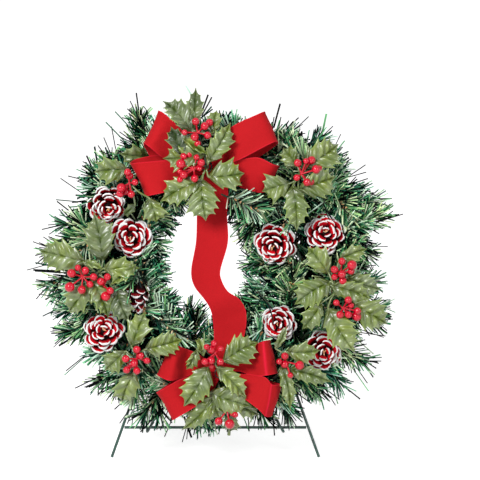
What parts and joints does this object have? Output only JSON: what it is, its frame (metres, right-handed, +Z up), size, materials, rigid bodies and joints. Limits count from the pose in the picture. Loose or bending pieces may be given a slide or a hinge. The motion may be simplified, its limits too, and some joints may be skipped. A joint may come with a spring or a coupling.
{
  "type": "pinecone wreath",
  "caption": "Round artificial pine wreath with pinecones, holly picks with berries and red ribbon bows, standing on a wire easel.",
  "frame": {"origin": "on the floor, under the middle of the bounding box", "axes": "+Z up, -Y towards the front of the wreath, +X to the viewer's right"},
  "size_m": [0.4044, 0.3674, 0.4118],
  "materials": {
    "ring_wire": "dark green coated steel wire",
    "easel_wire": "dark green coated steel wire, satin",
    "pine": "PVC needles, dark to light green",
    "cone": "natural cone painted red, scale rims painted white",
    "leaf": "olive green moulded leaf with raised veins, soft sheen",
    "berry": "glossy red",
    "ribbon": "red flocked velvet ribbon with wired edges",
    "tie_wire": "thin green florist's wire, wound"
  },
  "bodies": {
    "root": {"ring_frame": "ring_wire", "pine_bunch_01": "pine", "pine_bunch_02": "pine", "pine_bunch_03": "pine", "pine_bunch_04": "pine", "pine_bunch_05": "pine", "pine_bunch_06": "pine", "pine_bunch_07": "pine", "pine_bunch_08": "pine", "pine_bunch_09": "pine", "pine_bunch_10": "pine", "pine_bunch_11": "pine", "pine_bunch_12": "pine", "pinecone_1": "cone", "pinecone_2": "cone", "pinecone_3": "cone", "pinecone_4": "cone", "pinecone_5": "cone", "pinecone_6": "cone", "pinecone_7": "cone", "pinecone_8": "cone", "holly_leaves_top": "leaf", "holly_leaves_upper_left": "leaf", "holly_leaves_left": "leaf", "holly_leaves_lower_left": "leaf", "holly_leaves_bottom": "leaf", "holly_leaves_lowest": "leaf", "holly_leaves_lower_right": "leaf", "holly_leaves_right": "leaf", "holly_leaves_upper_right": "leaf", "berries_top_upper": "berry", "berries_top_lower": "berry", "berries_upper_left": "berry", "berries_left_outer": "berry", "berries_left_inner": "berry", "berries_lower_left": "berry", "berries_bottom": "berry", "berries_lowest": "berry", "berries_lower_right": "berry", "berries_right_outer": "berry", "berries_right_inner": "berry", "berries_upper_right": "berry", "bow_top_loop_upper_left": "ribbon", "bow_top_loop_lower_left": "ribbon", "bow_top_loop_upper_right": "ribbon", "bow_top_loop_lower_right": "ribbon", "bow_bottom_loop_upper_left": "ribbon", "bow_bottom_loop_lower_left": "ribbon", "bow_bottom_loop_upper_right": "ribbon", "bow_bottom_loop_lower_right": "ribbon", "ribbon_streamer": "ribbon", "bow_top_tie": "tie_wire", "bow_bottom_tie": "tie_wire", "easel_base_bar": "easel_wire", "easel_leg_left": "easel_wire", "easel_leg_right": "easel_wire", "easel_rear_leg": "easel_wire", "easel_brace_left": "easel_wire", "easel_brace_right": "easel_wire"}
  },
  "joints": []
}
